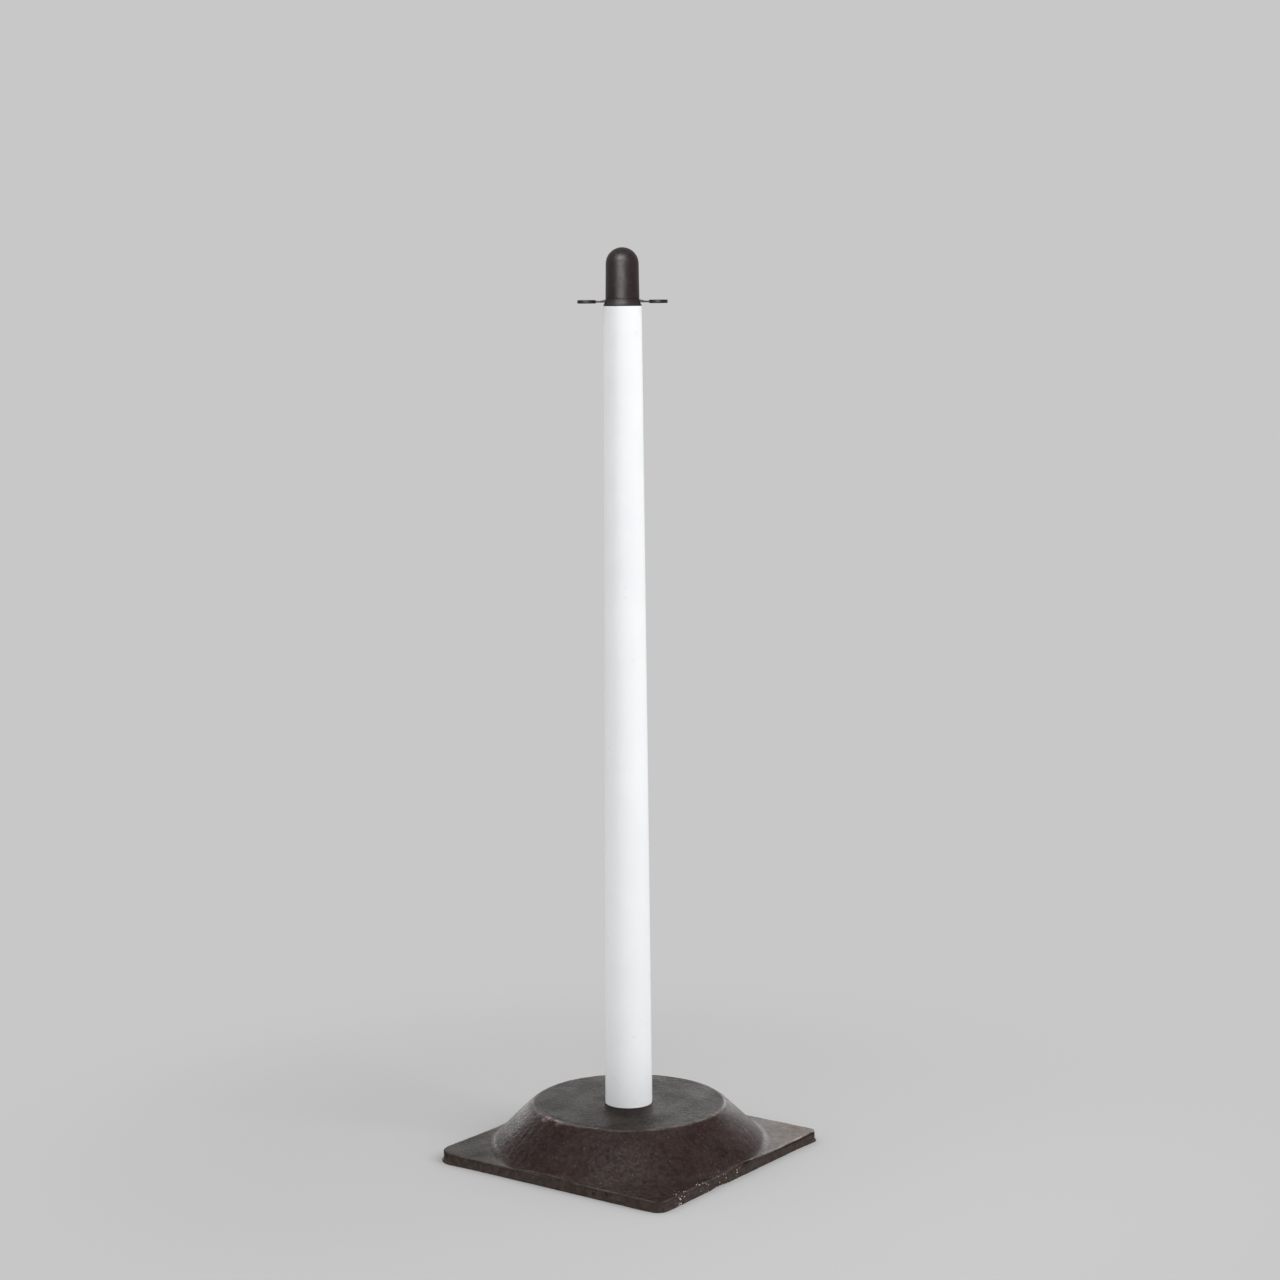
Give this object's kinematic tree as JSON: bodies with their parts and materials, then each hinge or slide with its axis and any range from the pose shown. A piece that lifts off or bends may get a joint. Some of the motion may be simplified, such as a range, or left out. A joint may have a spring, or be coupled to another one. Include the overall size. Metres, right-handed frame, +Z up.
{
  "type": "chain barrier post",
  "caption": "Free-standing chain post: white tapered tube on a square domed rubber base, with a black domed cap and a swivelling collar with eyelets for chain.",
  "frame": {"origin": "on the ground under the middle of the square base", "axes": "+Z up along the post; +X and +Y square to the base's sides"},
  "size_m": [0.28, 0.28, 0.917],
  "materials": {
    "recycled_rubber": "matt recycled rubber granulate with a greasy sheen, flow marks and chips",
    "white_plastic": "smooth satin white plastic",
    "black_plastic": "satin black moulded plastic",
    "zinc_steel": "bright zinc plating"
  },
  "bodies": {
    "post": {"rubber_base": "recycled_rubber", "post_tube": "white_plastic", "foot_plug": "black_plastic", "anchor_nut": "zinc_steel", "anchor_bolt": "zinc_steel", "lock_washer": "zinc_steel", "penny_washer": "zinc_steel"},
    "cap": {"head_cap": "black_plastic"},
    "collar": {"eyelet_collar": "black_plastic"}
  },
  "joints": [
    {"name": "head_lift", "type": "slide", "parent": "post", "child": "cap", "axis": [0, 0, 1], "range_m": [0, 0.04]},
    {"name": "collar_swivel", "type": "hinge", "parent": "cap", "child": "collar", "pos_m": [0, 0, 0.863], "axis": [0, 0, 1], "continuous": true}
  ]
}
